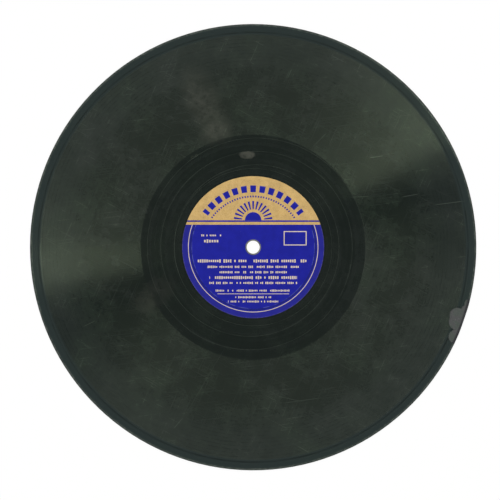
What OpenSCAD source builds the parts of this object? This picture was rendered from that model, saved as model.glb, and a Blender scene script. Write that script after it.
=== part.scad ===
// A 25 cm shellac record, pressed in layers: a coarse core between two fine
// shellac facings, with a paper label pressed into the middle of each side.
// The origin is on the spindle axis at the underside, and +Z points out of side A.

/* [Disc] */
// Diameter over the rim
disc_d = 250; // [200:1:305]
// Thickness over both facings
disc_t = 2.2; // [1.8:0.1:3]
// Radius of the rounded rim edges
rim_round = 1; // [0.3:0.1:1]
// Diameter of the spindle hole
hole_d = 7.28; // [7.1:0.01:7.6]
// Thickness of each fine shellac facing
facing_t = 0.35; // [0.3:0.05:0.6]

/* [Label] */
// Diameter of the paper label
label_d = 79.5; // [74:0.5:84]
// Diameter of the hole punched in the label
label_hole_d = 8.8; // [8:0.1:12]
// Thickness of the pressed paper
paper_t = 0.12; // [0.08:0.01:0.16]
// How far the label lies below the facing's surface
label_sink = 0.03; // [0.01:0.01:0.06]
// Clearance round and under the label in its seat
label_fit = 0.01; // [0.01:0.01:0.03]
// Diameter of the ring that the die presses into the label
die_ring_d = 70; // [50:0.5:76]
// Width of that ring
die_ring_w = 1.2; // [0.6:0.1:2]
// Depth of that ring
die_ring_depth = 0.05; // [0.02:0.01:0.08]

/* [Groove] */
// Width of the groove at the surface
groove_w = 0.15; // [0.1:0.01:0.2]
// Depth of the groove
groove_depth = 0.06; // [0.04:0.01:0.08]
// Distance from one recorded turn to the next
recorded_pitch = 0.25; // [0.22:0.01:0.3]
// Recorded turns that each modelled turn stands for
turns_per_cut = 8; // [8:1:40]
// Distance between the turns of the lead-in
lead_in_pitch = 2; // [1.5:0.5:3]
// Distance between the turns of the run-out
run_out_pitch = 7.5; // [5:0.5:10]
// Smooth margin from the rim to the start of the lead-in
margin_w = 2; // [1.5:0.1:4]
// Radial width of the lead-in
lead_in_w = 4; // [2:0.5:6]
// Radius at which the recording ends and the run-out starts
recording_end_r = 63; // [55:0.5:70]
// Distance from the label to the end of the run-out
run_out_clear = 4.5; // [3.5:0.25:8]

/* [Rim chip] */
// Direction of the chip, seen from above side A
chip_angle = -19; // [-180:0.1:180]
// Radius of the main flake broken off the facing
chip_r = 5; // [4:0.1:7]
// Distance from the rim to the middle of that flake
chip_inset = 3.2; // [1:0.1:5]
// How far the break cuts back the rim
chip_rim_cut = 0.6; // [0.2:0.1:1]

/* [Hidden] */
$fn = 180;

disc_r = disc_d / 2;
hole_r = hole_d / 2;
label_r = label_d / 2;
// Share of the thickness that each rounded edge may take at most
rim_share = 0.49;
rim_r = min(rim_round, rim_share * disc_t);
core_top = disc_t - facing_t;
label_top = disc_t - label_sink;
// How far a cut runs past the face it opens
over = 0.04;

// Grid for the groove's radii and a finer one for its width.
// On them sums are exact, so that half turns about different centres meet in the same points.
grid = 1 / 8;
fine_grid = 1 / 1024;
function snap(x, step = grid) = step * round(x / step);

// A stretch of the spiral is its start radius, its pitch and its count of half turns.
// Half turns come in steps of two where the next stretch goes on from whole turns.
function stretch(r_start, r_end, nominal_pitch, step) =
    let (pitch = 4 * max(grid, snap(nominal_pitch / 4)))
    [r_start, pitch, max(2, step * round(2 * (r_start - r_end) / pitch / step))];
function stretch_end(s) = s[0] - s[1] * s[2] / 2;

lead_in_r = snap(disc_r - margin_w);
lead_in = stretch(lead_in_r, lead_in_r - lead_in_w, lead_in_pitch, 2);
recording = stretch(stretch_end(lead_in), recording_end_r, recorded_pitch * turns_per_cut, 2);
run_out = stretch(stretch_end(recording), label_r + run_out_clear, run_out_pitch, 1);
// Distance from the end of the run-out to the closed groove, which leaves a land of half a width
gate_widths = 1.5;
gate_step = gate_widths * groove_w;
locked_r = stretch_end(run_out) - gate_step;

// The main flake and smaller ones beside it, each as shares of the main one's sizes:
// place along the rim and radius as shares of its radius, distance from the rim as a share of its inset
chip_flakes = [
    [-0.44, 1, 1],
    [0.24, 0.86, 1.45],
    [-2.14, 0.78, 0.41],
    [1.16, 0.54, 0.25],
    [1.88, 0.52, 0.06]
];
// Width of each flake where it opens at the rim, as a share of its diameter
chip_mouth = 0.95;

// Surface colours
core_colour = "#4f5351";
facing_colour = "#272d2a";
paper_colour = "#222695";

// Half section of the whole disc, from the axis to the rounded rim
module disc_section() {
    square([disc_r - rim_r, disc_t]);
    translate([0, rim_r]) square([disc_r, disc_t - 2 * rim_r]);
    for (z = [rim_r, disc_t - rim_r]) translate([disc_r - rim_r, z]) circle(r = rim_r);
}

// One layer of the disc between two heights, with the spindle hole
module layer(bottom, top) {
    rotate_extrude() intersection() {
        disc_section();
        translate([hole_r, bottom]) square([disc_r, top - bottom]);
    }
}

// Points across the label at one height, dipping into the pressed ring and widened by a clearance
function label_line(z, fit = 0) = [
    [label_hole_d / 2 - fit, z],
    [die_ring_d / 2 - die_ring_w / 2, z],
    [die_ring_d / 2 - die_ring_w / 4, z - die_ring_depth],
    [die_ring_d / 2 + die_ring_w / 4, z - die_ring_depth],
    [die_ring_d / 2 + die_ring_w / 2, z],
    [label_r + fit, z]
];

function reversed(points) = [for (i = [len(points) - 1 : -1 : 0]) points[i]];

// Ring of paper between two copies of the label line, one paper thickness apart
module paper_ring() {
    rotate_extrude() polygon(concat(label_line(label_top), reversed(label_line(label_top - paper_t))));
}

// Seat that the label presses into the facing, open at the top
module label_seat() {
    mouth = [[label_r + label_fit, disc_t + over], [label_hole_d / 2 - label_fit, disc_t + over]];
    rotate_extrude() polygon(concat(label_line(label_top - paper_t - label_fit, label_fit), mouth));
}

// V-shaped section of one groove, carried a little above the surface
function groove_tooth(r) = let (half = snap(groove_w / 2 * (1 + over / groove_depth), fine_grid)) [
    [r + half, over],
    [r, -groove_depth],
    [r - half, over]
];

// Half turns round one centre, as one comb of teeth
module half_turns(r_first, pitch, count) {
    r_last = r_first - (count - 1) * pitch;
    spine = [[r_last - groove_w, 2 * over], [r_first + groove_w, 2 * over]];
    teeth = [for (k = [0 : count - 1]) each groove_tooth(r_first - k * pitch)];
    rotate_extrude(angle = 180) polygon(concat(spine, teeth));
}

// Spiral of half turns about two centres on the X axis, which meet in line.
// It winds inwards counter-clockwise, for a record that turns clockwise.
module spiral(s) {
    r_start = s[0];
    pitch = s[1];
    translate([pitch / 4, 0, 0])
        half_turns(r_start - pitch / 4, pitch, ceil(s[2] / 2));
    translate([-pitch / 4, 0, 0]) rotate([0, 0, 180])
        half_turns(r_start - 3 * pitch / 4, pitch, floor(s[2] / 2));
}

// Closed groove that holds the needle at the end
module locked_groove() {
    rotate_extrude() polygon(groove_tooth(locked_r));
}

// Pocket through which the needle passes from the end of the run-out into the closed groove
module run_out_gate() {
    side = run_out[2] % 2 == 0 ? 1 : -1;
    translate([side * (locked_r + gate_step / 2), 0, -groove_depth - over / 2])
        cylinder(r = gate_step / 2 + groove_w, h = groove_depth + 2 * over);
}

// The whole groove of one side, from the lead-in to the closed groove
module groove() {
    translate([0, 0, disc_t]) {
        spiral(lead_in);
        spiral(recording);
        spiral(run_out);
        run_out_gate();
        locked_groove();
    }
}

// One grooved facing with its label seat, side up
module facing() {
    difference() {
        layer(core_top, disc_t);
        label_seat();
        groove();
    }
}

// One round flake about the origin, open towards +X over the given reach
module flake(r, reach) {
    mouth = 2 * r * chip_mouth;
    depth = facing_t + 2 * over;
    cylinder(r = r, h = depth);
    translate([0, -mouth / 2, 0]) cube([reach, mouth, depth]);
}

// Flakes lost from the facing at the rim, down to the core
module chip() {
    for (shares = chip_flakes) {
        along_rim = shares[0] * chip_r / disc_r * 180 / PI;
        inset = chip_inset * shares[2];
        rotate([0, 0, chip_angle + along_rim]) translate([disc_r - inset, 0, core_top - over])
            flake(chip_r * shares[1], inset + over);
    }
}

// Slanting break across the rim, from side A down to the lower facing
module rim_break() {
    chord = 2 * sqrt(disc_r * disc_r - pow(disc_r - chip_rim_cut, 2));
    slant = chip_rim_cut / (disc_t - facing_t);
    rotate([0, 0, chip_angle]) translate([0, chord, 0]) rotate([90, 0, 0])
        linear_extrude(2 * chord) polygon([
            [disc_r, facing_t],
            [disc_r + over, facing_t],
            [disc_r + over, disc_t + over],
            [disc_r - chip_rim_cut - slant * over, disc_t + over]
        ]);
}

// Turns a piece of side A over to side B
module turned_over() {
    translate([0, 0, disc_t]) rotate([180, 0, 0]) children();
}

module core() {
    color(core_colour) difference() {
        layer(facing_t, core_top);
        rim_break();
    }
}

module facing_a() {
    color(facing_colour) difference() {
        facing();
        chip();
        rim_break();
    }
}

module facing_b() {
    color(facing_colour) turned_over() facing();
}

module label_a() {
    color(paper_colour) paper_ring();
}

module label_b() {
    color(paper_colour) turned_over() paper_ring();
}

core();
facing_a();
facing_b();
label_a();
label_b();
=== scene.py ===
"""Looks of a 25 cm shellac record that lies on a white table and is seen straight down."""
import math

import bmesh
import bpy
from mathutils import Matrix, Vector, bvhtree
from mathutils import noise as perlin


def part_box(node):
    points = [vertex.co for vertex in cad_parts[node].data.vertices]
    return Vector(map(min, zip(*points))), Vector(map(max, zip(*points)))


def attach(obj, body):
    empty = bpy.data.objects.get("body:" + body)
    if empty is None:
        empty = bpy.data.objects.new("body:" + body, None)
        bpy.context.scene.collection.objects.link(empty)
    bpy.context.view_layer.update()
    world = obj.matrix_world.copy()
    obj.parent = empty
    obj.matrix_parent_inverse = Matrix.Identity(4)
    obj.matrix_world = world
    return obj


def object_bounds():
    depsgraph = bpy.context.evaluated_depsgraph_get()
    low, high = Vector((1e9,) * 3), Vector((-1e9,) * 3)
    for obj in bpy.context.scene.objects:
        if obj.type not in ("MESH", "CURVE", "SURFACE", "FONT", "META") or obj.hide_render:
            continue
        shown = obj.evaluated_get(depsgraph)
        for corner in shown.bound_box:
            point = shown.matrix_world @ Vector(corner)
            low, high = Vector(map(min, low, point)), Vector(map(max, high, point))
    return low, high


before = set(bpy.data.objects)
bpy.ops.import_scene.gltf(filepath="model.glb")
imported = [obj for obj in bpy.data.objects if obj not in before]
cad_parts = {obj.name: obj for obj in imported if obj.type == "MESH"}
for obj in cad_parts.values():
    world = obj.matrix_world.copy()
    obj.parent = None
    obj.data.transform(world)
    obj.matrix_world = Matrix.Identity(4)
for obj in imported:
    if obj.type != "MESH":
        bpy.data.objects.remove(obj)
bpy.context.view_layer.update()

# Sizes in millimetres, as the solids have them. The label's height is from half the thickness.
MM = 0.001
DISC_R = (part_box("facing_b")[1].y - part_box("facing_b")[0].y) / 2 / MM
LABEL_R = (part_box("label_a")[1].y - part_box("label_a")[0].y) / 2 / MM
DISC_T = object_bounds()[1].z / MM
LABEL_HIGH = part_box("label_a")[1].z / MM - DISC_T / 2
DENT_R = 35.0
GROOVE_DEPTH = 0.06
GROOVE_W = 0.15
LEAD_IN_R = 123.0
LEAD_IN_PITCH = 2.0
LEAD_IN_TURNS = 2.0
RECORDING_R = LEAD_IN_R - LEAD_IN_TURNS * LEAD_IN_PITCH
RUN_OUT_R = 63.0
RUN_OUT_PITCH = 7.5
RUN_OUT_TURNS = 2.5
GATE_WIDTHS = 1.5
LOCKED_R = RUN_OUT_R - RUN_OUT_TURNS * RUN_OUT_PITCH - GATE_WIDTHS * GROOVE_W

# Pitch of the recorded turns, in millimetres. Each recorded turn of the solids stands for eight of them.
RECORDED_PITCH = 0.25


# Shader trees

# Places of a colour mix's share and colours among its inputs, and of the result among its outputs
MIX_INPUTS = (0, 6, 7)
MIX_RESULT = 2
NOISE_MEAN = 0.5


class Term:
    """A number in a shader tree. Arithmetic on it adds Math nodes."""

    def __init__(self, tree, socket):
        self.tree = tree
        self.socket = socket

    def math(self, operation, *others, clamp=False):
        """Adds a Math node on this number and others."""
        made = self.tree.nodes.new("ShaderNodeMath")
        made.operation = operation
        made.use_clamp = clamp
        for slot, value in zip(made.inputs, (self, *others)):
            feed(slot, value)
        return Term(self.tree, made.outputs[0])

    def __add__(self, other):
        return self.math("ADD", other)

    def __sub__(self, other):
        return self.math("SUBTRACT", other)

    def __mul__(self, other):
        return self.math("MULTIPLY", other)

    def __truediv__(self, other):
        return self.math("DIVIDE", other)

    def __rsub__(self, other):
        return self.math("MULTIPLY_ADD", -1.0, other)

    def __abs__(self):
        return self.math("ABSOLUTE")

    def __or__(self, other):
        return self.math("MAXIMUM", other)

    def __and__(self, other):
        return self.math("MINIMUM", other)

    def __invert__(self):
        return 1.0 - self


def feed(slot, value):
    """Links a Term or a socket to an input, or sets the input's value."""
    if isinstance(value, Term):
        value.tree.links.new(value.socket, slot)
    elif isinstance(value, bpy.types.NodeSocket):
        slot.id_data.links.new(value, slot)
    else:
        slot.default_value = value


def add(tree, kind, inputs=None, **settings):
    """Adds a node with its settings and inputs."""
    made = tree.nodes.new(kind)
    for key, value in settings.items():
        setattr(made, key, value)
    for key, value in (inputs or {}).items():
        feed(made.inputs[key], value)
    return made


def srgb(red, green, blue):
    """Linear colour of an sRGB one given in 0 to 255."""
    def linear(c):
        c /= 255
        return c / 12.92 if c <= 0.04045 else ((c + 0.055) / 1.055) ** 2.4
    return (linear(red), linear(green), linear(blue), 1.0)


def mix(tree, share, first, second):
    """Colour that goes from the first to the second by a share from 0 to 1."""
    made = add(tree, "ShaderNodeMix", data_type="RGBA")
    for slot, value in zip(MIX_INPUTS, (share, first, second)):
        feed(made.inputs[slot], value)
    return made.outputs[MIX_RESULT]


def vector(tree, x, y=0.0, z=0.0):
    """Three numbers as one place."""
    return add(tree, "ShaderNodeCombineXYZ", {0: x, 1: y, 2: z}).outputs[0]


def noise(tree, place, scale, detail, roughness):
    """Noise from 0 to 1 at a place."""
    made = add(tree, "ShaderNodeTexNoise", {
        "Vector": place, "Scale": scale, "Detail": detail, "Roughness": roughness,
    })
    return Term(tree, made.outputs[0])


def ramp(term, start, end, low=0.0, high=1.0):
    """Smooth step of a Term from low at start to high at end."""
    made = add(term.tree, "ShaderNodeMapRange", {0: term, 1: start, 2: end, 3: low, 4: high},
               interpolation_type="SMOOTHSTEP")
    return Term(term.tree, made.outputs[0])


def inside(distance, edge):
    """1 where a signed distance is below 0, with a soft edge of the given width."""
    return distance.math("MULTIPLY_ADD", -1.0 / edge, 0.5, clamp=True)


def line(distance, width, edge):
    """1 within half a width of where a distance is 0."""
    return inside(abs(distance) - width / 2, edge)


def length(a, b):
    """Length of a flat vector."""
    return (a * a + b * b).math("SQRT")


def aligned(x, y, degrees):
    """Distances along and across a direction."""
    ux, uy = math.cos(math.radians(degrees)), math.sin(math.radians(degrees))
    return x * ux + y * uy, y * ux - x * uy


def new_material(name):
    """An empty material with its shader and output in place."""
    made = bpy.data.materials.new(name)
    made.use_nodes = True
    return made, made.node_tree, made.node_tree.nodes["Principled BSDF"]


def place_mm(tree):
    """Position on the object in millimetres, as three Terms."""
    coords = add(tree, "ShaderNodeTexCoord")
    split = add(tree, "ShaderNodeSeparateXYZ", {0: coords.outputs["Object"]})
    return [Term(tree, out) / MM for out in split.outputs]


def bump(tree, height, strength, distance_mm, normal=None):
    """Normal of a surface with this height, on top of another normal if there is one."""
    made = add(tree, "ShaderNodeBump", {
        "Height": height, "Strength": strength, "Distance": distance_mm * MM,
    })
    if normal is not None:
        feed(made.inputs["Normal"], normal)
    return made.outputs["Normal"]


# Shellac facings

# Bare shellac: inside the recording, on its inner and outer turns, and on the margin at the rim
INNER_COLOUR = (0.0064, 0.0092, 0.0087, 1.0)
BAND_COLOUR = (0.0060, 0.0089, 0.0084, 1.0)
OUTER_COLOUR = (0.0122, 0.0162, 0.0166, 1.0)
MARGIN_COLOUR = (0.0196, 0.0278, 0.0288, 1.0)

# What lies on it or is worn into it, and the pale painted highlight along the grooves
HAZE_GREEN = (0.029, 0.043, 0.031, 1.0)
HAZE_GREY = (0.037, 0.041, 0.041, 1.0)
SMUDGE_COLOUR = srgb(84, 83, 77)
LINE_COLOUR = (0.003, 0.004, 0.004, 1.0)
DUST_COLOUR = srgb(120, 126, 120)
# Painted highlight along the turns of the run-out, the closed groove and the lead-in
GROOVE_HIGHLIGHT_COLOUR = srgb(84, 90, 84)
BORE_COLOUR = srgb(124, 122, 116)

# Gloss, drawn out across the groove and tinted
INNER_ROUGHNESS = 0.11
BAND_ROUGHNESS = 0.25
MARGIN_ROUGHNESS = 0.075
RIM_ROUGHNESS = 0.6
STREAK_ROUGHNESS = 0.015
HAZE_ROUGHNESS = 0.02
MARK_ROUGHNESS = 0.2
SHELLAC_IOR = 1.5
SHELLAC_SPECULAR = 0.5
SHELLAC_TINT = (0.86, 1.0, 0.74, 1.0)
GROOVE_ANISOTROPY = 1.0
GROOVE_QUARTER_TURN = 0.25

# Where the looks change, in millimetres: the recording's inner edge is blurred by as much on both sides,
# and its outer edge by more outside than inside. The rim's blur and its nicks start and end inside the rim.
RECORDING_IN_BLUR = 0.3
RECORDING_OUT_BLUR = (0.5, 0.2)
OUTER_FROM_R = 80.0
MARGIN_BLUR = 1.0
RIM_BLUR = (1.2, 0.2)
NICK_REACH = (1.3, 0.6)
BORE_WEAR_R = 5.0
BORE_BLUR = 0.4
LEAD_LINE_R = 120.3
LEAD_LINE_W = 0.8
LEAD_LINE_BLUR = 0.5
GROOVE_HIGHLIGHT_BLUR = 0.2

# Noises: frequency per millimetre, detail and roughness. Streaks have their own scale
# outwards and round the disc.
BANDS_NOISE = (0.55, 3.0, 0.6)
STREAKS_NOISE = (1.0, 3.0, 0.6)
STREAKS_OUT = 2.0
STREAKS_ROUND = 3.0
CLOUDS_NOISE = (0.022, 3.0, 0.55)
PATCHES_NOISE = (0.09, 4.0, 0.6)
MOTTLE_NOISE = (0.4, 3.0, 0.65)
TINT_NOISE = (0.03, 2.0, 0.5)
TINT_SEED = 5.0
NICK_NOISE = (0.6, 3.0, 0.5)
UNEVEN_NOISE = (0.5, 3.0, 0.5)

# Steps of those noises: start and end, and the levels there if they aren't 0 and 1
HAZE_STEP = (0.42, 0.62)
TINT_STEP = (0.35, 0.65)
SMOOTH_STEP = (0.35, 0.65)
BAND_STEP = (0.2, 0.8, 0.75, 1.0)
LEAD_LINE_STEP = (0.3, 0.7, 0.15, 0.55)
GROOVE_HIGHLIGHT_STEP = (0.25, 0.55, 0.1, 0.42)
GREASE_STEP = (0.35, 0.65, 0.25, 1.25)
BORE_STEP = (0.35, 0.65, 0.5, 0.9)
NICK_STEP = (0.4, 0.7)

# Shares of clouds, patches and mottle in the haze, its share off the recording, and how much
# of it and of the other marks shows in the colour
HAZE_SHARES = (0.4, 0.33, 0.27)
HAZE_ELSEWHERE = 0.4
HAZE_TONE = 0.29
SMOOTH_TONE = 0.1
NICK_TONE = 0.4
MARK_TONE = 0.6
# Share of the painted groove highlight that the lead-in gets
LEAD_IN_HIGHLIGHT = 0.25

# Relief: strength of the recorded turns and of the uneven surface, and the latter's height in millimetres
RECORDED_RELIEF = 0.15
UNEVEN_RELIEF = 0.02
UNEVEN_HIGH = 0.05

# Specks: distance between them and largest radius in millimetres, the sizes that show,
# and their soft edge as a share of the distance
DUST_CELL = 14.0
DUST_R = 0.55
SPECK_STEP = (0.55, 1.0)
SPECK_EDGE = 0.02

# Scratches of side A: both ends and the width, in millimetres. A wider one is brighter.
# Each has its full strength between two shares of its length.
SCRATCH_TONE = 1.9
SCRATCH_BLUR = 0.3
SCRATCH_FULL = (0.25, 0.7)
SCRATCHES_A = [
    (-39.7, -96.9, -13.0, -51.5, 0.08),
    (15.0, -87.5, 40.4, -84.0, 0.15),
    (12.6, -83.1, 30.0, -87.0, 0.12),
    (64.4, 49.9, 73.8, 51.3, 0.2),
    (53.8, 28.0, 65.8, 28.4, 0.15),
    (82.6, 28.0, 93.8, 30.0, 0.2),
    (99.4, 23.4, 121.0, 26.2, 0.2),
    (33.8, 56.6, 41.7, 64.6, 0.15),
    (-45.0, -102.2, -38.3, -94.2, 0.12),
    (-95.7, -44.8, -87.7, -40.8, 0.15),
    (60.0, -70.0, 92.0, -60.5, 0.06),
    (-70.5, 60.0, -52.0, 66.5, 0.06),
]

# Faint hairlines: their directions in degrees, their length and width in millimetres,
# their noise in units of these, and their share off the recording
HAIRLINE_DIRECTIONS = (7.0, -28.0, 66.0)
HAIRLINE_LENGTH = 22.0
HAIRLINE_W = 0.45
HAIRLINE_NOISE = (1.0, 1.0, 0.5)
HAIRLINE_STEP = (0.6, 0.76)
HAIRLINE_ELSEWHERE = 0.15
HAIRLINE_TONE = 0.07

# Pale smudges of side A: middle, half length, half width, direction in degrees, strength,
# and the share of the oval that has its full strength
SMUDGE_UNEVEN = 0.9
SMUDGES_A = [
    (-27.0, 80.0, 30.0, 13.0, -62.0, 0.2, 0.3),
    (-21.0, 64.0, 12.0, 8.0, 30.0, 0.24, 0.3),
    (-3.4, 51.6, 5.2, 2.4, 0.0, 0.58, 0.7),
    (-56.0, -27.0, 17.0, 10.0, 40.0, 0.16, 0.3),
]


class Facing:
    """Places and noises on one facing that its colour, roughness and relief share."""

    def __init__(self, tree, seed):
        self.tree = tree
        self.seed = seed
        self.x, self.y, _ = place_mm(tree)
        self.r = length(self.x, self.y)
        self.flat = vector(tree, self.x, self.y, seed)
        past, before = RECORDING_OUT_BLUR
        starts = ramp(self.r, RUN_OUT_R - RECORDING_IN_BLUR, RUN_OUT_R + RECORDING_IN_BLUR)
        self.recorded = starts & ramp(self.r, RECORDING_R + past, RECORDING_R - before)
        self.bands = noise(tree, vector(tree, self.r, seed), *BANDS_NOISE)
        self.patches = noise(tree, self.flat, *PATCHES_NOISE)
        self.mottle = noise(tree, self.flat, *MOTTLE_NOISE)
        self.haze = self.cloudiness() * self.mostly_recorded(HAZE_ELSEWHERE)

    def cloudiness(self):
        """Large clouds, patches and fine mottle in one."""
        clouds = noise(self.tree, self.flat, *CLOUDS_NOISE)
        large, medium, small = HAZE_SHARES
        return ramp(clouds * large + self.patches * medium + self.mottle * small, *HAZE_STEP)

    def mostly_recorded(self, elsewhere):
        """1 on the recording, and a smaller share elsewhere."""
        return self.recorded * (1.0 - elsewhere) + elsewhere


def scratch(x, y, mark):
    """Strength of a thin straight scratch that fades out at its ends."""
    x0, y0, x1, y1, width = mark
    reach = math.hypot(x1 - x0, y1 - y0)
    along, across = aligned(x - x0, y - y0, math.degrees(math.atan2(y1 - y0, x1 - x0)))
    first, last = SCRATCH_FULL
    ends = ramp(along, 0.0, reach * first) & ramp(along, reach, reach * last)
    return line(across, width, SCRATCH_BLUR) * ends * (width * SCRATCH_TONE)


def hairlines(x, y, seed):
    """Faint short scratches in a few directions."""
    lines = None
    for direction in HAIRLINE_DIRECTIONS:
        along, across = aligned(x, y, direction)
        place = vector(x.tree, along / HAIRLINE_LENGTH, across / HAIRLINE_W, seed + direction)
        fresh = ramp(noise(x.tree, place, *HAIRLINE_NOISE), *HAIRLINE_STEP)
        lines = fresh if lines is None else lines | fresh
    return lines


def groove_line(x, y, start, pitch):
    """1 on a wound groove, whose half turns have their centres on either side of the spindle."""
    half = y.math("SIGN") * (pitch / 4)
    off = length(x - half, y) - half - (start - pitch / 2)
    return line(off.math("PINGPONG", pitch / 2), GROOVE_W, GROOVE_W / 2)


def groove_highlights(x, y, r):
    """Painted highlight: 1 on the turns of the run-out and on the closed groove, and less on the lead-in.
    """
    lead_in = groove_line(x, y, LEAD_IN_R, LEAD_IN_PITCH) & ramp(r, RECORDING_R, RECORDING_R + GROOVE_HIGHLIGHT_BLUR)
    lead_in = lead_in & ramp(r, LEAD_IN_R + GROOVE_HIGHLIGHT_BLUR, LEAD_IN_R)
    run_out = groove_line(x, y, RUN_OUT_R, RUN_OUT_PITCH) & ramp(r, LOCKED_R, LOCKED_R + GROOVE_HIGHLIGHT_BLUR)
    run_out = run_out & ramp(r, RUN_OUT_R + GROOVE_HIGHLIGHT_BLUR, RUN_OUT_R)
    return lead_in * LEAD_IN_HIGHLIGHT | run_out | line(r - LOCKED_R, GROOVE_W, GROOVE_W / 2)


def smudge(x, y, uneven, mark):
    """Strength of an oval smudge with an uneven edge."""
    x0, y0, half_long, half_wide, direction, strength, full = mark
    along, across = aligned(x - x0, y - y0, direction)
    off = length(along / half_long, across / half_wide)
    return ramp(off + (uneven - NOISE_MEAN) * SMUDGE_UNEVEN, 1.0, full, 0.0, strength)


def dust(tree, place, cell, radius, seed):
    """Specks scattered one to a cell, of which only the larger ones show."""
    made = add(tree, "ShaderNodeTexVoronoi", {"Vector": place, "Scale": 1.0 / cell, "W": seed},
               voronoi_dimensions="4D")
    size = Term(tree, add(tree, "ShaderNodeSeparateXYZ", {0: made.outputs["Color"]}).outputs[0])
    off = Term(tree, made.outputs["Distance"]) - ramp(size, *SPECK_STEP) * (radius / cell)
    return inside(off, SPECK_EDGE)


def bare_tone(face):
    """Colour of the shellac and its haze, paler towards the rim."""
    tree = face.tree
    played = mix(tree, ramp(face.r, OUTER_FROM_R, RECORDING_R), BAND_COLOUR, OUTER_COLOUR)
    smooth = mix(tree, ramp(face.r, RECORDING_R - MARGIN_BLUR, RECORDING_R), INNER_COLOUR, MARGIN_COLOUR)
    smooth = mix(tree, ramp(face.bands, *SMOOTH_STEP) * SMOOTH_TONE, smooth, HAZE_GREY)
    tone = mix(tree, face.recorded * ramp(face.bands, *BAND_STEP), smooth, played)
    tint = noise(tree, vector(tree, face.x, face.y, face.seed + TINT_SEED), *TINT_NOISE)
    haze = mix(tree, ramp(tint, *TINT_STEP), HAZE_GREEN, HAZE_GREY)
    return mix(tree, face.haze * HAZE_TONE, tone, haze)


def worn_tone(face, tone, sense, smudges):
    """Adds the dark line in the lead-in, the painted highlight along the grooves, the smudges and the worn
    bore.
    """
    tree = face.tree
    gutter = line(face.r - LEAD_LINE_R, LEAD_LINE_W, LEAD_LINE_BLUR) * ramp(face.patches, *LEAD_LINE_STEP)
    tone = mix(tree, gutter, tone, LINE_COLOUR)
    # Painted highlight: pale lines along the groove turns
    worn = groove_highlights(face.x, face.y * sense, face.r) * ramp(face.patches, *GROOVE_HIGHLIGHT_STEP)
    tone = mix(tree, worn, tone, GROOVE_HIGHLIGHT_COLOUR)
    grease = ramp((face.mottle + face.patches) / 2, *GREASE_STEP)
    for mark in smudges:
        tone = mix(tree, smudge(face.x, face.y, face.mottle, mark) * grease, tone, SMUDGE_COLOUR)
    bore = ramp(face.r, BORE_WEAR_R, BORE_WEAR_R - BORE_BLUR) * ramp(face.mottle, *BORE_STEP)
    return mix(tree, bore, tone, BORE_COLOUR)


def pale_marks(face, scratches):
    """Strength of the dust, the nicks at the rim, the hairlines and the scratches."""
    starts, full = NICK_REACH
    nicks = ramp(face.r, DISC_R - starts, DISC_R - full)
    nicks = nicks * ramp(noise(face.tree, face.flat, *NICK_NOISE), *NICK_STEP)
    fine = hairlines(face.x, face.y, face.seed) * face.mostly_recorded(HAIRLINE_ELSEWHERE)
    marks = dust(face.tree, face.flat, DUST_CELL, DUST_R, face.seed)
    marks = marks | nicks * NICK_TONE | fine * HAIRLINE_TONE
    for mark in scratches:
        marks = marks | scratch(face.x, face.y, mark)
    return marks


def shellac_roughness(face, marks):
    """Dull on the recording and at the rim, and glossy elsewhere."""
    starts, full = RIM_BLUR
    plain = ramp(face.r, RECORDING_R - MARGIN_BLUR, RECORDING_R, INNER_ROUGHNESS, MARGIN_ROUGHNESS)
    rim = ramp(face.r, DISC_R - starts, DISC_R - full, 0.0, RIM_ROUGHNESS - MARGIN_ROUGHNESS)
    plain = plain + rim
    dull = plain + face.recorded * (BAND_ROUGHNESS - plain)
    ux, uy = face.x / face.r, face.y / face.r
    turn = vector(face.tree, face.r * STREAKS_OUT, ux * STREAKS_ROUND, uy * STREAKS_ROUND)
    streaks = noise(face.tree, turn, *STREAKS_NOISE) - NOISE_MEAN
    return dull + streaks * STREAK_ROUGHNESS + face.haze * HAZE_ROUGHNESS + marks * MARK_ROUGHNESS


def shellac_relief(face):
    """Relief of the recorded turns, on a slightly uneven surface."""
    wound = face.r + face.y.math("ARCTAN2", face.x) * (RECORDED_PITCH / math.tau)
    turns = wound.math("PINGPONG", RECORDED_PITCH / 2) * (2 / RECORDED_PITCH)
    normal = bump(face.tree, turns * face.recorded, RECORDED_RELIEF, GROOVE_DEPTH)
    uneven = noise(face.tree, face.flat, *UNEVEN_NOISE)
    return bump(face.tree, uneven, UNEVEN_RELIEF, UNEVEN_HIGH, normal)


def shellac(name, seed, sense, scratches, smudges):
    """Greenish black shellac. The sense is 1 on side A and -1 on side B, which is turned over."""
    made, tree, shader = new_material(name)
    face = Facing(tree, seed)
    marks = pale_marks(face, scratches)
    tone = worn_tone(face, bare_tone(face), sense, smudges)
    feed(shader.inputs["Base Color"], mix(tree, marks * MARK_TONE, tone, DUST_COLOUR))
    feed(shader.inputs["Roughness"], shellac_roughness(face, marks))
    feed(shader.inputs["Normal"], shellac_relief(face))
    shader.inputs["IOR"].default_value = SHELLAC_IOR
    shader.inputs["Specular IOR Level"].default_value = SHELLAC_SPECULAR
    shader.inputs["Specular Tint"].default_value = SHELLAC_TINT
    shader.inputs["Anisotropic"].default_value = GROOVE_ANISOTROPY
    shader.inputs["Anisotropic Rotation"].default_value = GROOVE_QUARTER_TURN
    tangent = add(tree, "ShaderNodeTangent", direction_type="RADIAL", axis="Z")
    feed(shader.inputs["Tangent"], tangent.outputs[0])
    return made


# Coarse core: its colours, the width of the painted shade at its rim and the height of its relief in
# millimetres, and noises, steps and specks as on the shellac

CORE_WARM = srgb(73, 73, 74)
CORE_COOL = srgb(68, 75, 70)
CORE_DARK = srgb(50, 50, 54)
CORE_GRIT = srgb(100, 101, 103)
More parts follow.
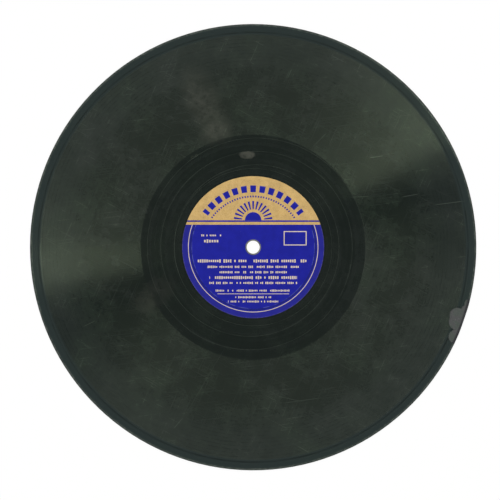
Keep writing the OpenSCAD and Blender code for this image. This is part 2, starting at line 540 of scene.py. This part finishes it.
# Painted shade at the rim: its colour, its width in millimetres and its strength
CORE_EDGE_SHADE = srgb(34, 33, 38)
CORE_EDGE_SHADE_W = 1.6
CORE_EDGE_SHADE_TONE = 0.9
CORE_CLOUDS_NOISE = (0.22, 3.0, 0.6)
CORE_CLOUDS_STEP = (0.42, 0.58)
GRAIN_NOISE = (2.6, 3.0, 0.7)
GRAIN_STEP = (0.3, 0.55)
GRAIN_ROUGHNESS_STEP = (0.2, 0.8, 0.65, 0.9)
GRIT_CELL = 0.9
GRIT_R = 0.3
GRIT_SEED = 3.0
GRIT_TONE = 0.5
CORE_RELIEF = 0.6
CORE_RELIEF_HIGH = 0.12


def core_stock(name):
    """Grey mineral-filled stock, matt and gritty where it is broken, and darker towards the rim by painted
    shade.
    """
    made, tree, shader = new_material(name)
    x, y, z = place_mm(tree)
    place = vector(tree, x, y, z)
    clouds = noise(tree, place, *CORE_CLOUDS_NOISE)
    grain = noise(tree, place, *GRAIN_NOISE)
    grit = dust(tree, place, GRIT_CELL, GRIT_R, GRIT_SEED)
    # Painted shade: darker within the last millimetres to the rim
    rim = ramp(length(x, y), DISC_R - CORE_EDGE_SHADE_W, DISC_R - CORE_EDGE_SHADE_W / 2)
    tone = mix(tree, ramp(clouds, *CORE_CLOUDS_STEP), CORE_WARM, CORE_COOL)
    tone = mix(tree, ramp(grain, *GRAIN_STEP), CORE_DARK, tone)
    tone = mix(tree, grit * GRIT_TONE, tone, CORE_GRIT)
    feed(shader.inputs["Base Color"], mix(tree, rim * CORE_EDGE_SHADE_TONE, tone, CORE_EDGE_SHADE))
    feed(shader.inputs["Roughness"], ramp(grain, *GRAIN_ROUGHNESS_STEP))
    feed(shader.inputs["Normal"], bump(tree, grain + grit, CORE_RELIEF, CORE_RELIEF_HIGH))
    return made


# Printed labels

BLUE = srgb(26, 30, 142)
MARGIN_BLUE = srgb(35, 36, 132)
GOLD = srgb(200, 168, 116)
GOLD_DEEP = srgb(184, 149, 92)
PALE_GOLD = srgb(206, 186, 170)
# Painted shade in the pressed ring
DENT_SHADE_COLOUR = srgb(26, 30, 96)
# Painted highlight on the pressed ring's crest
CREST_HIGHLIGHT_COLOUR = srgb(122, 126, 178)
PAPER = srgb(196, 178, 140)
PAPER_SPECULAR = 0.1

# Noises and steps of the paper, as on the shellac, shares of fibres and stains in the wear of the ink,
# and the width of the frayed edge and the height of the relief in millimetres
FIBRE_NOISE = (2.2, 4.0, 0.65)
STAIN_NOISE = (0.25, 3.0, 0.6)
STAIN_STEP = (0.25, 0.75, 0.9, 1.08)
GOLD_STEP = (0.3, 0.7)
INK_SHARES = (0.7, 0.3)
INK_STEP = (0.25, 0.42, 0.35, 1.0)
SCUFF_STEP = (0.68, 0.8)
SCUFF_TONE = 0.35
FRAYED_W = 0.5
FRAYED_STEP = (0.4, 0.6)
FRAYED_TONE = 0.15
PAPER_ROUGHNESS_STEP = (0.2, 0.8, 0.5, 0.7)
PAPER_RELIEF = 0.2
PAPER_RELIEF_HIGH = 0.05

# Ring that the die presses: the depths at which its painted shade starts and is darkest,
# and the pale painted highlight on its inner edge, in millimetres
DENT_SHADE_DEPTHS = (0.005, 0.04)
DENT_SHADE_TONE = 0.7
CREST_INSET = 0.65
CREST_W = 0.3
CREST_BLUR = 0.3
CREST_STEP = (0.45, 0.6)
CREST_HIGHLIGHT_TONE = 0.35

# Print, in millimetres from the spindle and degrees from the top. The sun and its rays are measured
# from the stripe's upper edge. Shares are of the step from one spoke to the next.
PRINT_EDGE = 0.12
RING_R = 36.27
RING_W = 0.36
RING_BLUR = 0.2
FIELD_BASE = 12.6
STRIPE_V = 14.6
STRIPE_W = 0.9
BLOCK_COUNT = 40
BLOCK_R = (30.8, 34.6)
BLOCK_SHARE = 0.62
BLOCK_REACH = 55.0
BEAD_R = 28.4
BEAD_W = 1.0
BEAD_COUNT = 120
BEAD_SHARE = 0.5
SUN_R = 4.6
RAY_R = (6.2, 10.8)
RAY_COUNT = 26
RAY_SHARE = 0.45

# Rows of small blocks below the gold field: middle, half length, block height and pitch
ROWS = [
    ((-23.5, 6.6), 5.6, 1.2, 0.95),
    ((-23.5, 3.4), 4.2, 1.8, 1.4),
    ((0.0, -7.7), 31.0, 1.7, 1.2),
    ((0.0, -11.0), 25.5, 1.2, 0.95),
    ((0.0, -14.0), 19.0, 1.2, 0.95),
    ((0.0, -17.0), 24.5, 1.6, 1.2),
    ((0.0, -20.0), 25.0, 1.2, 0.95),
    ((0.0, -24.3), 21.0, 1.1, 0.85),
    ((0.0, -28.0), 10.0, 1.1, 0.85),
    ((0.0, -30.4), 14.0, 1.1, 0.85),
]

# Share of the blocks that are there, their width as a share of the pitch,
# and their half heights as shares of the row's block height
ROW_FILL = 0.82
ROW_SEED = 7.31
ROW_BLOCK_W = 0.68
ROW_BLOCK_HALVES = (0.35, 0.55)

# Rule and empty panel: middle and half sizes, and the width of the panel's frame
RULE = ((0.0, -26.1), (20.0, 0.15))
PANEL = ((23.5, 5.0), (6.4, 4.0))
PANEL_LINE = 0.5


def spokes(u, v, count, share, edge_r):
    """1 on evenly spaced spokes about a point, each a share of its step wide."""
    step = math.tau / count
    swing = u.math("ARCTAN2", v).math("PINGPONG", step / 2)
    return inside((swing - share * step / 2) * edge_r, PRINT_EDGE)


def annulus(r, inner, outer):
    """1 between two radii."""
    return line(r - (inner + outer) / 2, outer - inner, PRINT_EDGE)


def bar(u, v, middle, half):
    """1 in an upright rectangle given by its middle and half sizes."""
    return inside((abs(u - middle[0]) - half[0]) | (abs(v - middle[1]) - half[1]), PRINT_EDGE)


def block_row(u, v, middle, half, tall, pitch):
    """Row of small blocks of uneven height, some left out."""
    steps = (u - middle[0]) / pitch
    cell = steps.math("FLOOR")
    draw = add(u.tree, "ShaderNodeTexWhiteNoise", {"W": cell + middle[1] * ROW_SEED}, noise_dimensions="1D")
    shown = Term(u.tree, draw.outputs["Value"]).math("LESS_THAN", ROW_FILL)
    uneven = Term(u.tree, add(u.tree, "ShaderNodeSeparateXYZ", {0: draw.outputs["Color"]}).outputs[1])
    wide = (abs(steps - cell - 0.5) - ROW_BLOCK_W / 2) * pitch
    high = abs(v - middle[1]) - ramp(uneven, 0.0, 1.0, *ROW_BLOCK_HALVES) * tall
    return inside(wide | high, PRINT_EDGE) * shown & bar(u, v, middle, (half, tall))


def gold_field(u, v, r):
    """Gold segment above a chord, with a stripe, blocks, beads and a rising sun left blue."""
    field = inside(FIELD_BASE - v, PRINT_EDGE)
    near_top = inside((abs(u.math("ARCTAN2", v)) - math.radians(BLOCK_REACH)) * BEAD_R, PRINT_EDGE)
    blocks = spokes(u, v, BLOCK_COUNT, BLOCK_SHARE, BLOCK_R[0]) & annulus(r, *BLOCK_R)
    beads = spokes(u, v, BEAD_COUNT, BEAD_SHARE, BEAD_R) & line(r - BEAD_R, BEAD_W, PRINT_EDGE)
    rise = v - (STRIPE_V + STRIPE_W / 2)
    sun_r = length(u, rise)
    rays = spokes(u, rise, RAY_COUNT, RAY_SHARE, RAY_R[0]) & annulus(sun_r, *RAY_R)
    sun = (inside(sun_r - SUN_R, PRINT_EDGE) | rays) & inside(0.0 - rise, PRINT_EDGE)
    stripe = line(v - STRIPE_V, STRIPE_W, PRINT_EDGE)
    return field & ~(stripe | sun | ((blocks | beads) & near_top))


def pale_print(u, v):
    """Pale rule, empty panel and rows of blocks."""
    middle, half = PANEL
    opening = bar(u, v, middle, [side - PANEL_LINE for side in half])
    ink = bar(u, v, *RULE) | (bar(u, v, middle, half) & ~opening)
    for row in ROWS:
        ink = ink | block_row(u, v, *row)
    return ink


def label_ground(tree, r, z, stain):
    """Blue ground, with painted shade in the pressed ring and a pale painted highlight on its crest."""
    starts, darkest = DENT_SHADE_DEPTHS
    ground = mix(tree, ramp(r, RING_R - RING_BLUR, RING_R + RING_BLUR), BLUE, MARGIN_BLUE)
    # Painted shade: darker where the pressed ring lies below the label's top
    dent_shade = ramp(abs(z - DISC_T / 2), LABEL_HIGH - starts, LABEL_HIGH - darkest)
    ground = mix(tree, dent_shade * DENT_SHADE_TONE, ground, DENT_SHADE_COLOUR)
    # Painted highlight: a pale line along the ring's inner crest
    crest = line(r - (DENT_R - CREST_INSET), CREST_W, CREST_BLUR) * ramp(stain, *CREST_STEP)
    return mix(tree, crest * CREST_HIGHLIGHT_TONE, ground, CREST_HIGHLIGHT_COLOUR)


def printed(tree, place, ground, fibre, stain):
    """Gold and pale print on the ground, thin where it is worn."""
    u, v, r = place
    by_fibre, by_stain = INK_SHARES
    ink = ramp(fibre * by_fibre + stain * by_stain, *INK_STEP)
    gold = mix(tree, ramp(fibre, *GOLD_STEP), GOLD_DEEP, GOLD)
    tone = mix(tree, gold_field(u, v, r) * ink, ground, gold)
    ring = line(r - RING_R, RING_W, PRINT_EDGE) & inside(v - FIELD_BASE, PRINT_EDGE)
    return mix(tree, (ring | pale_print(u, v)) * ink, tone, PALE_GOLD)


def scuffed(tree, tone, r, fibre):
    """Adds bare paper in small scuffs and along the frayed edge."""
    frayed = ramp(r, LABEL_R - FRAYED_W, LABEL_R) * ramp(fibre, *FRAYED_STEP)
    scuffs = ramp(fibre, *SCUFF_STEP) * SCUFF_TONE + frayed * FRAYED_TONE
    return mix(tree, scuffs, tone, PAPER)


def label_paper(name, seed, sense):
    """Blue label printed in gold, with paper grain. The sense is as for the shellac."""
    made, tree, shader = new_material(name)
    u, y, z = place_mm(tree)
    v = y * sense
    r = length(u, v)
    flat = vector(tree, u, y, seed)
    fibre = noise(tree, flat, *FIBRE_NOISE)
    stain = noise(tree, flat, *STAIN_NOISE)
    tone = printed(tree, (u, v, r), label_ground(tree, r, z, stain), fibre, stain)
    tone = scuffed(tree, tone, r, fibre)
    shade = add(tree, "ShaderNodeHueSaturation", {"Color": tone, "Value": ramp(stain, *STAIN_STEP)})
    feed(shader.inputs["Base Color"], shade.outputs[0])
    feed(shader.inputs["Roughness"], ramp(fibre, *PAPER_ROUGHNESS_STEP))
    feed(shader.inputs["Normal"], bump(tree, fibre, PAPER_RELIEF, PAPER_RELIEF_HIGH))
    shader.inputs["Specular IOR Level"].default_value = PAPER_SPECULAR
    return made


# Pieces that ride on the disc

# Chip: its direction in degrees, and its reach along the rim and inwards in millimetres
CHIP_DIRECTION = -19.0
CHIP_ALONG = (-16.0, 13.0)
CHIP_INWARDS = 10.0

# Crust on the chip's floor: grid step, roughness, fillet and thickness in millimetres,
# the fillet's reach in grid steps, and the roughness's falloff, step of scale and octaves
CRUST_STEP = 0.25
CRUST_ROUGH = 0.1
CRUST_FILLET = 0.16
CRUST_THICK = 0.05
CRUST_REACH = 3
CRUST_NOISE = (1.0, 2.0, 4)

# Low blisters of side A: place and radius in millimetres, and height as a share of the radius
BLISTERS_A = [(-34.0, 50.3, 0.9), (-31.7, 51.4, 0.8)]
BLISTER_RISE = 0.2
BLISTER_SEGMENTS = 24


def add_piece(name, mesh, material):
    """Makes a mesh a piece that goes with the disc."""
    data = bpy.data.meshes.new(name)
    mesh.to_mesh(data)
    mesh.free()
    data.polygons.foreach_set("use_smooth", [True] * len(data.polygons))
    data.materials.append(material)
    made = bpy.data.objects.new(name, data)
    bpy.context.scene.collection.objects.link(made)
    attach(made, "root")
    return made


def bare_core():
    """Points of the core's top by grid place where the facing is lost, and the covered places."""
    depsgraph = bpy.context.evaluated_depsgraph_get()
    core, facing = (bvhtree.BVHTree.FromObject(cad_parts[n], depsgraph) for n in ("core", "facing_a"))
    down = Vector((0.0, 0.0, -1.0))
    bare, covered = {}, set()
    for i in range(round((CHIP_ALONG[1] - CHIP_ALONG[0]) / CRUST_STEP)):
        angle = math.radians(CHIP_DIRECTION) + (CHIP_ALONG[0] + i * CRUST_STEP) / DISC_R
        for j in range(round(CHIP_INWARDS / CRUST_STEP)):
            r = (DISC_R - j * CRUST_STEP) * MM
            above = Vector((r * math.cos(angle), r * math.sin(angle), 2 * DISC_T * MM))
            if facing.ray_cast(above, down)[0]:
                covered.add((i, j))
            elif point := core.ray_cast(above, down)[0]:
                bare[i, j] = point
    return bare, covered


def crust_rise(point, i, j, covered):
    """Height of the crust in millimetres, more along the facing's broken edge."""
    near = range(-CRUST_REACH, CRUST_REACH + 1)
    walls = [math.hypot(a, b) for a in near for b in near if (i + a, j + b) in covered]
    fillet = max(0.0, 1.0 - min(walls, default=CRUST_REACH) / CRUST_REACH)
    rough = 0.5 + perlin.fractal(point / MM, *CRUST_NOISE) / 2
    return CRUST_FILLET * fillet ** 2 + CRUST_ROUGH * max(0.0, rough)


def chip_floor(material):
    """Rough broken crust on the bare core."""
    bare, covered = bare_core()
    mesh = bmesh.new()
    corners = {}
    for (i, j), point in bare.items():
        rise = crust_rise(point, i, j, covered)
        corners[i, j] = mesh.verts.new(point + Vector((0.0, 0.0, rise * MM)))
    for i, j in corners:
        square = [(i, j), (i, j + 1), (i + 1, j + 1), (i + 1, j)]
        if all(place in corners for place in square):
            mesh.faces.new([corners[place] for place in reversed(square)])
    loose = [corner for corner in corners.values() if not corner.link_faces]
    bmesh.ops.delete(mesh, geom=loose, context="VERTS")
    bmesh.ops.recalc_face_normals(mesh, faces=mesh.faces)
    made = add_piece("chip_floor", mesh, material)
    solid = made.modifiers.new("thickness", "SOLIDIFY")
    solid.thickness = (CRUST_ROUGH + CRUST_FILLET + CRUST_THICK) * MM
    solid.offset = -1.0


def blisters(material):
    """Low domes that bubbles left in the pressing."""
    mesh = bmesh.new()
    segments = {"u_segments": BLISTER_SEGMENTS, "v_segments": BLISTER_SEGMENTS // 2}
    for x, y, radius in BLISTERS_A:
        dome = bmesh.ops.create_uvsphere(mesh, radius=radius * MM, **segments)["verts"]
        bmesh.ops.scale(mesh, vec=(1.0, 1.0, BLISTER_RISE), verts=dome)
        bmesh.ops.translate(mesh, vec=(x * MM, y * MM, DISC_T * MM), verts=dome)
    add_piece("blisters", mesh, material)


# Stage: floor, sky, lamps and camera, in metres and degrees

WHITE = (1.0, 1.0, 1.0, 1.0)

# The floor lies a little below the disc, is clear to what lies within its reach,
# and glows by a share where it is seen
FLOOR_SIZE = 8.0
FLOOR_DROP = 0.00005
FLOOR_REACH = 0.0005
FLOOR_COLOUR = (0.95, 0.95, 0.95, 1.0)
FLOOR_ROUGHNESS = 0.9
FLOOR_GLOW = 0.95

# The sky's ring starts and ends between sines of the elevation, and has two opposite gaps.
# The horizon is brighter on one side.
RING_LIGHT = 1.2
RING_LOW = (0.42, 0.62)
RING_HIGH = (0.97, 0.88)
ZENITH_LIGHT = 0.09
HORIZON_DIRECTION = 190.0
HORIZON_STEP = (-0.3, 0.9, 0.05, 0.5)
GAP_LIGHT = 0.0
GAP_DIRECTION = 19.5
GAP_HALF_WIDTH = (19.0, 26.0)

# Small lamps that make the bright sectors of the grooves, which start sharply and fade in steps:
# direction of the sharp edge, sense of the steps and their powers, for each side
LAMPS = {
    "lamp_right": (27.5, 1, (0.125, 0.056, 0.022)),
    "lamp_left": (190.8, -1, (0.12, 0.026, 0.006)),
}
LAMP_STEP = 12.0
LAMP_COLOUR = (0.95, 1.0, 0.9)
LAMP_DISTANCE = 0.23
LAMP_HEIGHT = 0.4
LAMP_TALL = 0.06

# Large soft lamp overhead, which gives no reflection of its own
FILL_POWER = 6.6
FILL_COLOUR = (0.95, 1.0, 0.92)
FILL_SIDE = 1.0
FILL_HEIGHT = 1.2

# Camera: the side of its view at the disc's upper side and the middle of it from the spindle,
# and the lens and its picture width in millimetres
VIEW_SIDE = 0.27983
VIEW_CENTRE = (-0.00177, -0.00157)
LENS = 200.0
SENSOR = 36.0


def table_surface(tree, shader):
    """Matt white that glows where it is seen, and that is clear from below and from close by."""
    path = add(tree, "ShaderNodeLightPath")
    seen = Term(tree, path.outputs["Is Camera Ray"]) | Term(tree, path.outputs["Is Glossy Ray"])
    seen = seen | Term(tree, path.outputs["Is Transmission Ray"])
    glow = add(tree, "ShaderNodeEmission", {"Color": WHITE, "Strength": 1.0}).outputs[0]
    white = add(tree, "ShaderNodeMixShader", {0: seen * FLOOR_GLOW, 1: shader.outputs[0], 2: glow})
    under = Term(tree, add(tree, "ShaderNodeNewGeometry").outputs["Backfacing"])
    under = under | Term(tree, path.outputs["Ray Length"]).math("LESS_THAN", FLOOR_REACH)
    clear = add(tree, "ShaderNodeBsdfTransparent").outputs[0]
    faced = add(tree, "ShaderNodeMixShader", {0: under, 1: white.outputs[0], 2: clear})
    return faced.outputs[0]


def table_top():
    """White floor that keeps the object's shadow, and that lets the underside be seen and lit."""
    bpy.ops.mesh.primitive_plane_add(size=FLOOR_SIZE, location=(0.0, 0.0, -FLOOR_DROP))
    floor = bpy.context.object
    floor.name = "floor"
    made, tree, shader = new_material("white_table")
    shader.inputs["Base Color"].default_value = FLOOR_COLOUR
    shader.inputs["Roughness"].default_value = FLOOR_ROUGHNESS
    feed(tree.nodes["Material Output"].inputs["Surface"], table_surface(tree, shader))
    floor.data.materials.append(made)


def studio_sky():
    """Light from a bright ring high above the horizon, under a dim ceiling, and alike from below."""
    world = bpy.data.worlds.new("studio")
    world.use_nodes = True
    bpy.context.scene.world = world
    tree = world.node_tree
    coords = add(tree, "ShaderNodeTexCoord")
    split = add(tree, "ShaderNodeSeparateXYZ", {0: coords.outputs["Generated"]})
    x, y, up = (Term(tree, out) for out in split.outputs)
    level = length(x, y)
    gap, bright = math.radians(GAP_DIRECTION), math.radians(HORIZON_DIRECTION)
    aside = abs(y * math.cos(gap) - x * math.sin(gap)) / level
    toward = (x * math.cos(bright) + y * math.sin(bright)) / level
    dark, full = (math.sin(math.radians(angle)) for angle in GAP_HALF_WIDTH)
    high = ramp(abs(up), *RING_LOW)
    low = ramp(abs(up), *RING_HIGH)
    ring = (high & low) * ramp(aside, dark, full, GAP_LIGHT, 1.0) * RING_LIGHT
    horizon = ~high * ramp(toward, *HORIZON_STEP)
    light = ring + ~low * ZENITH_LIGHT + horizon
    feed(tree.nodes["Background"].inputs["Strength"], light)
    tree.nodes["Background"].inputs["Color"].default_value = WHITE


def area_lamp(name, power, colour, size, place):
    """A soft panel that faces the spindle and that the camera doesn't see."""
    data = bpy.data.lights.new(name, "AREA")
    data.shape = "RECTANGLE"
    data.size, data.size_y = size
    data.energy = power
    data.color = colour
    made = bpy.data.objects.new(name, data)
    bpy.context.scene.collection.objects.link(made)
    made.location = place
    made.rotation_euler = (-made.location).to_track_quat("-Z", "Y").to_euler()
    made.visible_camera = False
    return made


def side_lamps():
    """Small lamps side by side from each sharp edge on."""
    size = (2 * LAMP_DISTANCE * math.tan(math.radians(LAMP_STEP / 2)), LAMP_TALL)
    for name, (edge, sense, powers) in LAMPS.items():
        for step, power in enumerate(powers):
            angle = math.radians(edge + sense * LAMP_STEP * (step + 0.5))
            place = (LAMP_DISTANCE * math.cos(angle), LAMP_DISTANCE * math.sin(angle), LAMP_HEIGHT)
            area_lamp(f"{name}_{step + 1}", power, LAMP_COLOUR, size, place)


def fill_lamp():
    """Soft light from straight above."""
    place = (0.0, 0.0, FILL_HEIGHT)
    fill = area_lamp("lamp_fill", FILL_POWER, FILL_COLOUR, (FILL_SIDE, FILL_SIDE), place)
    fill.visible_glossy = False


def camera():
    """A long lens straight above the disc."""
    data = bpy.data.cameras.new("camera")
    data.lens = LENS
    data.sensor_width = SENSOR
    made = bpy.data.objects.new("camera", data)
    made.location = (*VIEW_CENTRE, DISC_T * MM + VIEW_SIDE * LENS / SENSOR)
    bpy.context.scene.collection.objects.link(made)
    bpy.context.scene.camera = made


def dress(node, material):
    """Gives a CAD node one material."""
    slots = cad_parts[node].data.materials
    slots.clear()
    slots.append(material)


bpy.context.scene.view_settings.view_transform = "Standard"
camera()
table_top()
studio_sky()
side_lamps()
fill_lamp()

stock = core_stock("core_stock")
shellac_a = shellac("shellac_a", seed=1.0, sense=1.0, scratches=SCRATCHES_A, smudges=SMUDGES_A)
shellac_b = shellac("shellac_b", seed=2.0, sense=-1.0, scratches=[], smudges=[])
dress("core", stock)
dress("facing_a", shellac_a)
dress("facing_b", shellac_b)
dress("label_a", label_paper("label_paper_a", seed=3.0, sense=1.0))
dress("label_b", label_paper("label_paper_b", seed=4.0, sense=-1.0))
chip_floor(stock)
blisters(shellac_a)
